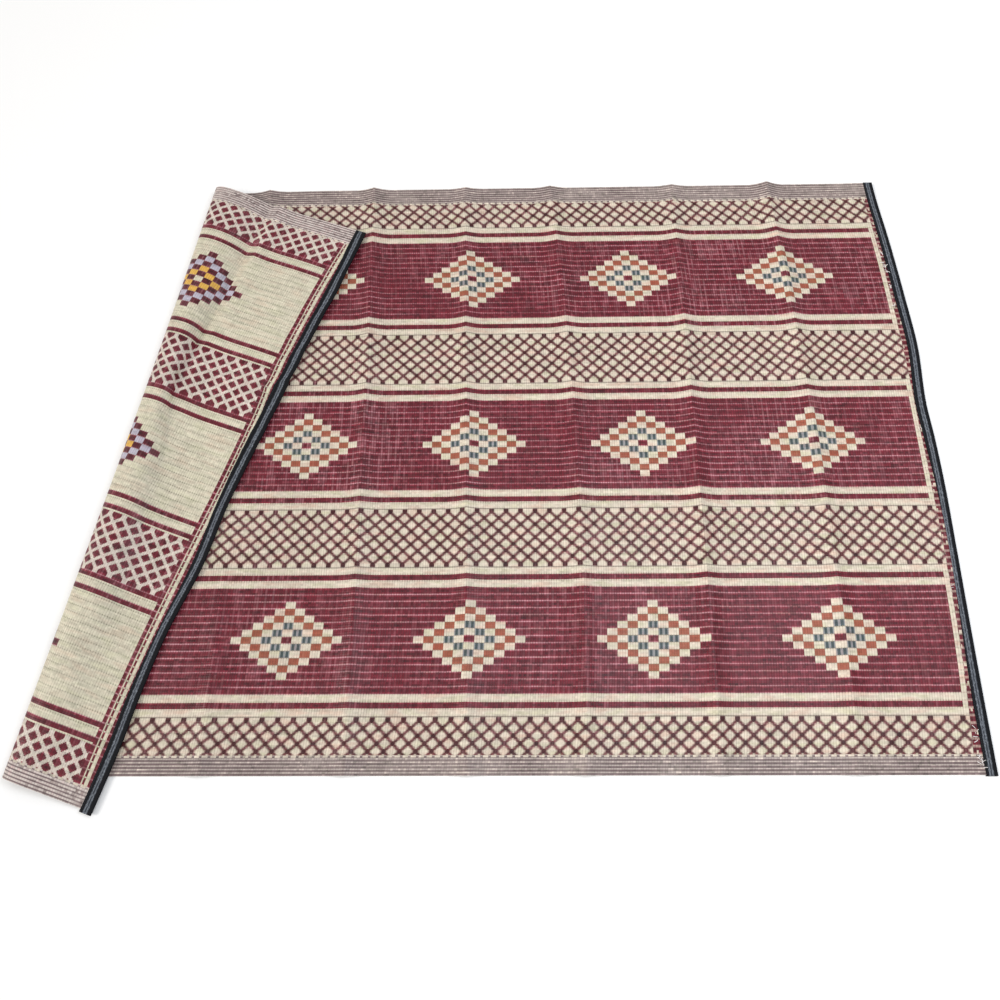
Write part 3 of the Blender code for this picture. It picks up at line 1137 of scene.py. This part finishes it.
def grow(obj: Object, tree: Tree, material: Material) -> Mesh:
    """Run a Geometry Nodes tree on an object and keep what it makes as the object's mesh.

    Args:
        obj: The object.
        tree: The tree.
        material: The material that it gives.

    Returns:
        The new mesh.
    """
    modifier = obj.modifiers.new(tree.name, "NODES")
    modifier.node_group = tree
    modifier[tree.interface.items_tree["Material"].identifier] = material
    graph = bpy.context.evaluated_depsgraph_get()
    mesh = bpy.data.meshes.new_from_object(obj.evaluated_get(graph), depsgraph=graph)
    obj.modifiers.clear()
    obj.data = mesh
    mesh.shade_smooth()
    LOG.info("%s: %d faces", obj.name, len(mesh.polygons))
    return mesh


@dataclass
class WovenSheet:
    """The woven sheet, in one piece, with its ribs raised on both faces."""

    lie: MatLie
    rows_a_rib: int = 4
    rib_depth: float = 0.0003
    taken_up: Table = Table(
        ((-0.61, 0.0166), (-0.30, 0.0130), (0.0, 0.0105), (0.30, 0.0020), (0.61, -0.0001))
    )
    hidden_spread: float = 0.15
    drawn_in: float = 0.006
    bow: float = 0.115
    skew: float = 0.0052
    skew_fade: Pair = (1.38, 0.6)
    tape_columns: int = 2
    flap_columns: int = 14
    ridge_columns: int = 3
    slope_columns: int = 8
    bend_columns: int = 20
    crease_places: tuple[float, ...] = (-1.0, -0.6, -0.3, -0.12, 0.0, 0.12, 0.3, 0.6, 1.0)
    between_columns: int = 2
    slack: float = 1e-6
    rib_nudge: float = 1e-4
    sharp_edge: float = math.radians(50)
    faces_a_side: int = 0

    def row_places(self) -> Array:
        """Set out the rows across the mat.

        Returns:
            Their v, on the ribs and their grooves.
        """
        half, step = self.lie.half, RIB / self.rows_a_rib
        first = RIB_ZERO - step * math.floor((RIB_ZERO + half) / step + self.slack)
        inner = np.arange(first, half - step / 3, step)
        return np.concatenate([[-half], inner[inner > -half + step / 3], [half]])

    def column_places(self, v: Array) -> Array:
        """The columns of each row, which follow the tapes, the fold and the creases.

        Args:
            v: The rows.

        Returns:
            The u of each row's columns, rows by columns.
        """
        lie = self.lie
        left, right, crease = lie.end(End.LEFT, v), lie.end(End.RIGHT, v), lie.flap_crease(v)
        tape_in, fold = left + lie.left.read(v, 2), lie.fold_u(v, lie.half_bend(v))
        stops = [
            (left, 0),
            (tape_in, self.tape_columns),
            (crease - lie.ridge_back, self.flap_columns),
            (crease, self.ridge_columns),
            (fold, self.slope_columns),
        ]
        arcs = lie.bend_arcs
        for k in range(1, self.bend_columns + 1):
            turn = math.pi * (1 - k / self.bend_columns)
            arc = np.interp(turn, np.linspace(0, math.pi, len(arcs)), arcs)
            stops.append((lie.fold_u(v, lie.half_height(v) * arc - lie.half_bend(v)), 1))
        for crease in lie.creases:
            for number, share in enumerate(self.crease_places):
                place = crease.line(v, lie.half) + lie.crease_side * share
                stops.append((place, 1 if number else self.between_columns))
        climb = lie.climb_start, (lie.climb_start + lie.climb_end) / 2, lie.climb_end
        stops += [(right - back, 1) for back in (*climb, lie.tape_face, 0.0)]
        columns = [left]
        for (a, _), (b, count) in zip(stops, stops[1:]):
            columns += [a + (b - a) * k / count for k in range(1, count + 1)]
        return np.stack(columns, axis=1)

    def design_u(self, u: Array, v: Array) -> Array:
        """The u of the woven pattern at a point.

        Args:
            u: The u of each point.
            v: Its v.

        Returns:
            The pattern's u. It bows towards the long edges and leans a little, as the weave does, and it
            runs ahead on the flap, which the hidden length of the lower layer takes up.
        """
        full, fade = self.skew_fade
        drawn = u - self.drawn_in + self.bow * np.abs(v) ** 3 + self.skew * v * (full - fade * u)
        past = self.lie.fold_frame(u, v)[1]
        return drawn + self.taken_up.read(v) * ease((past + self.hidden_spread) / self.hidden_spread)

    def relief_tree(self) -> Tree:
        """Wire the tree that sinks the grooves between ribs, on a mesh that carries the weave's map.

        Returns:
            The tree.
        """
        sizes = {"Rib pitch": RIB, "Rib zero": RIB_ZERO, "Depth": self.rib_depth}
        g, taken = geometry_tree("Rib relief", sizes)
        place = g.out("GeometryNodeInputNamedAttribute", {"Name": WEAVE_MAP}, data_type="FLOAT_VECTOR")
        rib = (taken["Rib zero"] - g.split(place)[1]) / taken["Rib pitch"]
        arch = g.math("SINE", (rib + self.rib_nudge).fract() * math.pi)
        feeds = {0: g.out("GeometryNodeInputNormal", {}), "Scale": (arch - 1.0) * taken["Depth"]}
        offset = g.out("ShaderNodeVectorMath", feeds, operation="SCALE")
        moved = g.out("GeometryNodeSetPosition", {"Geometry": taken["Geometry"], "Offset": offset})
        return end_tree(g, moved, taken["Material"])

    def build(self, front: Material) -> Object:
        """Make the sheet's mesh.

        Args:
            front: The front's finish.

        Returns:
            The sheet.
        """
        v = self.row_places()
        u = self.column_places(v)
        v = np.broadcast_to(v[:, None], u.shape)
        middle, _, normal = self.lie.frame(u, v)
        half = self.lie.thickness / 2
        points = np.concatenate([(middle + normal * side).reshape(-1, 3) for side in (half, -half)])
        sheet = new_object("woven_sheet", points.tolist(), [], shell_faces(*u.shape).tolist())
        place = np.stack([self.design_u(u, v), v], -1).reshape(-1, 2)
        set_map(sheet.data, WEAVE_MAP, np.concatenate([place, place]))
        sheet.data.shade_smooth()
        grow(sheet, self.relief_tree(), front).set_sharp_from_angle(angle=self.sharp_edge)
        self.faces_a_side = (u.shape[0] - 1) * (u.shape[1] - 1)
        return sheet

    def dress(self, sheet: Object, finishes: tuple[Material, ...]) -> None:
        """Give each face its finish.

        Args:
            sheet: The sheet.
            finishes: The front's finish and the back's.
        """
        mesh = sheet.data
        mesh.materials.clear()
        for finish in finishes:
            mesh.materials.append(finish)
        index = np.zeros(len(mesh.polygons), dtype=np.int32)
        index[self.faces_a_side : 2 * self.faces_a_side] = 1
        mesh.polygons.foreach_set("material_index", index)


@dataclass
class EndBinding:
    """A tape folded over one end of the mat and sewn through it."""

    lie: MatLie
    which: End
    overhang: float
    tape: float = 0.0008
    gap: float = 0.0003
    band_middle: float = 0.0101
    rings: int = 420
    face_shares: tuple[float, ...] = (1.0, 0.995, 0.97, 0.9, 0.75, 0.6, 0.45, 0.3, 0.2, 0.1, 0.03)
    edge_shares: Pair = (0.45, 0.8)
    crown: float = 0.1
    nose_turns: tuple[float, ...] = (80, 55, 28, 0, -28, -55, -80)
    nose_flatness: float = 0.98
    sharp_edge: float = math.radians(60)
    stitch_pitch: float = 0.0034
    stitch_length: float = 0.0024
    stitch_thickness: float = 0.00045
    stitch_inset: float = 0.0022
    stitch_lengths: Pair = (0.85, 1.1)
    stitch_lift: float = 0.05
    seam_points: int = 240
    seam_inset: float = 0.003

    @property
    def name(self) -> str:
        """The tape's name, as its solid's."""
        return f"binding_{self.which.name.lower()}"

    def section(self, v: Array) -> tuple[Array, Array, Array]:
        """The tape's section on each row.

        Args:
            v: The rows.

        Returns:
            The distance in from the end and the height of each point of the section, and its place
            across the tape's width from the tape's middle line on that face, rows by points.
        """
        base = self.lie.thickness / 2 + self.gap
        top = base + self.tape
        face = self.lie.face(self.which, v)[:, None]
        other = 2 * self.lie.tape_face - face
        shares = np.array(self.face_shares)
        puff = self.tape * self.crown * np.sin(np.arange(len(shares)) / (len(shares) - 1) * math.pi)
        front_d = face * shares
        front_e = np.broadcast_to(top - self.tape * self.crown + puff, front_d.shape).copy()
        front_e[:, :2] = [base + self.tape * share for share in self.edge_shares]
        turns = np.radians(self.nose_turns)
        nose_d = np.broadcast_to(-(self.gap + self.tape) * np.cos(turns), (len(v), len(turns)))
        nose_e = np.broadcast_to(top * np.sin(turns) * self.nose_flatness, nose_d.shape)
        inner = np.full_like(other, -self.gap)
        inner_d = np.concatenate([other, inner, inner, face], 1)
        inner_e = np.broadcast_to([-base, -base, base, base], inner_d.shape)
        d = np.concatenate([front_d, nose_d, other * shares[::-1], inner_d], 1)
        e = np.concatenate([front_e, nose_e, -front_e[:, ::-1], inner_e], 1)
        return d, e, d - self.band_middle

    def build(self, finish: Material) -> Object:
        """Make the tape.

        Args:
            finish: The tape's material.

        Returns:
            The tape's object.
        """
        lie, inwards = self.lie, self.which.value
        v = np.linspace(-lie.half - self.overhang, lie.half, self.rings)
        d, e, across = self.section(v)
        rows = np.broadcast_to(v[:, None], d.shape)
        ends = np.broadcast_to(lie.end(self.which, v)[:, None], d.shape)
        point, _, normal = lie.frame(ends + inwards * np.maximum(d, 0.0), rows)
        along_u = lie.frame(ends, rows)[1]
        point = point + normal * e[..., None] + along_u * (inwards * np.minimum(d, 0.0))[..., None]
        point[..., 2] = np.maximum(point[..., 2], 0.0)
        index = np.arange(d.size).reshape(d.shape)
        a, b = index[:-1], index[1:]
        sides = np.stack([a, np.roll(a, -1, 1), np.roll(b, -1, 1), b], -1).reshape(-1, 4).tolist()
        faces = [*sides, index[0].tolist(), index[-1].tolist()]
        strip = new_object(f"{self.name}_tape", point.reshape(-1, 3).tolist(), [], faces)
        set_map(strip.data, TAPE_MAP, np.stack([rows, across], -1).reshape(-1, 2))
        strip.data.materials.append(finish)
        strip.data.shade_smooth()
        self._face_outwards(strip.data)
        strip.data.set_sharp_from_angle(angle=self.sharp_edge)
        LOG.info("%s: %d faces", strip.name, len(strip.data.polygons))
        return strip

    @staticmethod
    def _face_outwards(mesh: Mesh) -> None:
        """Turn all of a closed mesh's faces outwards.

        Args:
            mesh: The mesh.
        """
        bm = bmesh.new()
        bm.from_mesh(mesh)
        bmesh.ops.recalc_face_normals(bm, faces=bm.faces)
        bm.to_mesh(mesh)
        bm.free()

    def stitch_tree(self) -> Tree:
        """Wire the tree that lays stitches at an even pitch along a line.

        Returns:
            The tree.
        """
        sizes = {"Pitch": self.stitch_pitch, "Length": self.stitch_length, "Thickness": self.stitch_thickness}
        g, taken = geometry_tree("Stitch row", sizes)
        curve = g.out("GeometryNodeMeshToCurve", {"Mesh": taken["Geometry"]})
        points = g.out("GeometryNodeResampleCurve", {"Curve": curve, "Length": taken["Pitch"]}, mode="LENGTH")
        ball = g.out("GeometryNodeMeshUVSphere", {"Segments": 6, "Rings": 5, "Radius": 0.5}, "Mesh")
        tangent = g.out("GeometryNodeInputTangent", {})
        turn = g.out("FunctionNodeAlignEulerToVector", {"Vector": tangent}, axis="Z")
        length = taken["Length"] * g.chance(*self.stitch_lengths, seed=7)
        size = g.vector(taken["Thickness"], taken["Thickness"], length)
        feeds = {"Points": points, "Instance": ball, "Rotation": turn, "Scale": size}
        return end_tree(g, g.out("GeometryNodeInstanceOnPoints", feeds), taken["Material"])

    def stitches(self, thread: Material) -> Object:
        """Sew the tape down with a row of stitches on each face.

        Args:
            thread: The thread's material.

        Returns:
            The stitches' object.
        """
        lie, low = self.lie, self.stitch_thickness / 2
        v = np.linspace(-lie.half + self.seam_inset, lie.half - self.seam_inset, self.seam_points)
        lift = lie.thickness / 2 + self.gap + self.tape + self.stitch_thickness * self.stitch_lift
        face = lie.face(self.which, v)
        points, edges = [], []
        for sign, width in ((1, face), (-1, 2 * lie.tape_face - face)):
            u = lie.end(self.which, v) + self.which.value * (width - self.stitch_inset)
            middle, _, normal = lie.frame(u, v)
            start = len(points)
            points += [(x, y, max(z, low)) for x, y, z in (middle + normal * sign * lift).tolist()]
            edges += [(start + k, start + k + 1) for k in range(len(v) - 1)]
        seam = new_object(f"{self.name}_stitches", points, edges, [])
        grow(seam, self.stitch_tree(), thread)
        return seam


@dataclass
class LooseEnds:
    """Frayed ends of straw that stand up beside the right tape, in clusters: their v, spread and number."""

    lie: MatLie
    length: float = 0.0075
    thickness: float = 0.0011
    inset: float = 0.0035
    scatter: float = 0.35
    scatter_turn: float = 2.4
    size_spread: Pair = (0.55, 1.25)
    bend: tuple[Triple, Triple, Triple] = ((0.0, 0.0, 0.0), (0.45, 0.10, 0.42), (1.0, -0.05, 0.12))
    clusters: tuple[tuple[float, float, int], ...] = (
        (0.425, 0.010, 3), (0.392, 0.022, 9), (0.345, 0.010, 3), (0.300, 0.006, 3),
        (0.020, 0.008, 2), (-0.290, 0.006, 2), (-0.545, 0.018, 5), (-0.588, 0.022, 8),
    )

    def tree(self) -> Tree:
        """Wire the tree that sets a bent end of straw on every point.

        Returns:
            The tree.
        """
        g, taken = geometry_tree("Loose ends", {"Length": self.length, "Thickness": self.thickness})
        bend = {"Resolution": 5, **dict(zip(("Start", "Middle", "End"), self.bend))}
        ring = {"Resolution": 5, "Radius": taken["Thickness"] / taken["Length"] / 2.0}
        straw = {
            "Curve": g.out("GeometryNodeCurveQuadraticBezier", bend),
            "Profile Curve": g.out("GeometryNodeCurvePrimitiveCircle", ring, mode="RADIUS"),
            "Fill Caps": True,
        }
        size = g.chance(*self.size_spread, seed=12) * taken["Length"]
        feeds = {
            "Points": taken["Geometry"],
            "Instance": g.out("GeometryNodeCurveToMesh", straw),
            "Rotation": g.vector(0.0, 0.0, g.chance(0.0, 2 * math.pi, seed=11)),
            "Scale": g.vector(size, size, size),
        }
        return end_tree(g, g.out("GeometryNodeInstanceOnPoints", feeds), taken["Material"])

    def build(self, finish: Material) -> Object:
        """Make the loose ends.

        Args:
            finish: Their material.

        Returns:
            Their object.
        """
        side = self.scatter * self.inset
        places = [
            (v + spread * (k / (count - 1) - 0.5), side * math.sin(self.scatter_turn * k))
            for v, spread, count in self.clusters
            for k in range(count)
        ]
        v, aside = np.array(places).T
        beside = self.lie.end(End.RIGHT, v) - self.lie.face(End.RIGHT, v) - self.inset
        middle, _, normal = self.lie.frame(beside + aside, v)
        points = middle + normal * (self.lie.thickness + self.thickness) / 2
        ends = new_object("loose_ends", points.tolist(), [], [])
        grow(ends, self.tree(), finish)
        return ends


@dataclass
class Studio:
    """A pale floor, soft light and the camera."""

    eye: Triple = (1.0361775 - ORIGIN_U, -0.6452099 - ORIGIN_V, 1.4125599)
    down: float = 1.213458
    yaw: float = -0.0496514
    roll: float = -0.0541176
    lens: float = 28.8
    sensor: float = 36.0
    floor_size: float = 14.0
    floor_drop: float = 0.0004
    floor_colour: Colour = (0.93, 0.93, 0.93, 1.0)
    floor_roughness: float = 0.9
    room: float = 0.665
    key: float = 1.66
    key_from: Triple = (-1.0, -0.22, 0.72)
    key_angle: float = math.radians(22)
    key_colour: Triple = (1.0, 0.96, 0.90)
    sheen: float = 17.0
    sheen_from: Triple = (0.78, -0.12, 1.8)
    sheen_size: float = 0.9
    sheen_colour: Triple = (0.88, 0.93, 1.0)

    def camera(self) -> None:
        """Set up the camera."""
        level = math.cos(self.down)
        ahead = Vector((math.sin(self.yaw) * level, math.cos(self.yaw) * level, -math.sin(self.down)))
        right = ahead.cross(Vector((0, 0, 1))).normalized()
        up = right.cross(ahead)
        sine, cosine = math.sin(self.roll), math.cos(self.roll)
        turned = Matrix((right * cosine + up * sine, up * cosine - right * sine, -ahead)).transposed()
        data = bpy.data.cameras.new("camera")
        data.lens, data.sensor_width, data.sensor_fit = self.lens, self.sensor, "HORIZONTAL"
        camera = bpy.data.objects.new("camera", data)
        camera.matrix_world = Matrix.Translation(self.eye) @ turned.to_4x4()
        bpy.context.scene.collection.objects.link(camera)
        bpy.context.scene.camera = camera

    def floor(self) -> None:
        """Lay the pale floor."""
        half = self.floor_size / 2
        corners = [(x * half, y * half, -self.floor_drop) for x, y in ((-1, -1), (1, -1), (1, 1), (-1, 1))]
        floor = new_object("floor", corners, [], [(0, 1, 2, 3)])
        material, g, shader = new_material("floor")
        g.fill(shader, {"Base Color": self.floor_colour, "Roughness": self.floor_roughness})
        floor.data.materials.append(material)

    def lights(self) -> None:
        """Light the mat evenly from the left, hang a cool lamp over its right half and whiten the room."""
        scene = bpy.context.scene
        scene.view_settings.view_transform = "Standard"
        world = bpy.data.worlds.new("room")
        world.use_nodes = True
        background = world.node_tree.nodes["Background"]
        Graph(world.node_tree).fill(background, {"Color": (1.0, 1.0, 1.0, 1.0), "Strength": self.room})
        scene.world = world
        key = bpy.data.lights.new("left", "SUN")
        key.energy, key.angle, key.color = self.key, self.key_angle, self.key_colour
        sheen = bpy.data.lights.new("over_right", "AREA")
        sheen.energy, sheen.size, sheen.color = self.sheen, self.sheen_size, self.sheen_colour
        for data, place in ((key, self.key_from), (sheen, self.sheen_from)):
            light = bpy.data.objects.new(data.name, data)
            light.location = place
            light.rotation_euler = (-Vector(place)).to_track_quat("-Z", "Y").to_euler()
            scene.collection.objects.link(light)


def main() -> None:
    """Build and dress the mat and its studio."""
    logging.basicConfig(level=logging.INFO, format="%(message)s")
    lie = MatLie()
    studio = Studio()
    studio.camera()
    studio.floor()
    studio.lights()
    groups = PatternGroup().build(), WeaveGroup().build()
    front = StrawFinish(Side.FRONT).build(*groups)
    back = StrawFinish(
        Side.BACK,
        light=linear(204, 197, 176),
        selvage=linear(206, 195, 188),
        selvage_gap=0.30,
        wire=linear(208, 195, 188),
        tinge=0.30,
        ring_two=linear(214, 168, 78),
        ring_four=linear(178, 173, 187),
        # The back's pale groove and warp lines, partly painted highlight.
        pale_line_and_highlight_on_light=linear(128, 126, 108),
        lozenge=0.70,
        softness=0.12,
    ).build(*groups)
    sheet = WovenSheet(lie)
    mat = sheet.build(front)
    sheet.dress(mat, (front, back))
    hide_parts("mat_sheet")
    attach(mat, "root")
    tape, thread = TapeFinish().build(), ThreadFinish().build()
    pale = linear(206, 196, 194), linear(244, 242, 240)
    straw = ThreadFinish("loose_straw", *pale, roughness=0.35, grain=260.0)
    ends = LooseEnds(lie).build(straw.build())
    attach(ends, "root")
    pieces = [ends]
    for which, overhang in ((End.LEFT, 0.005), (End.RIGHT, 0.002)):
        binding = EndBinding(lie, which, overhang)
        strip, seam = binding.build(tape), binding.stitches(thread)
        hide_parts(binding.name)
        for piece in (strip, seam):
            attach(piece, "root")
        pieces += [strip, seam]


if __name__ == "__main__":
    main()
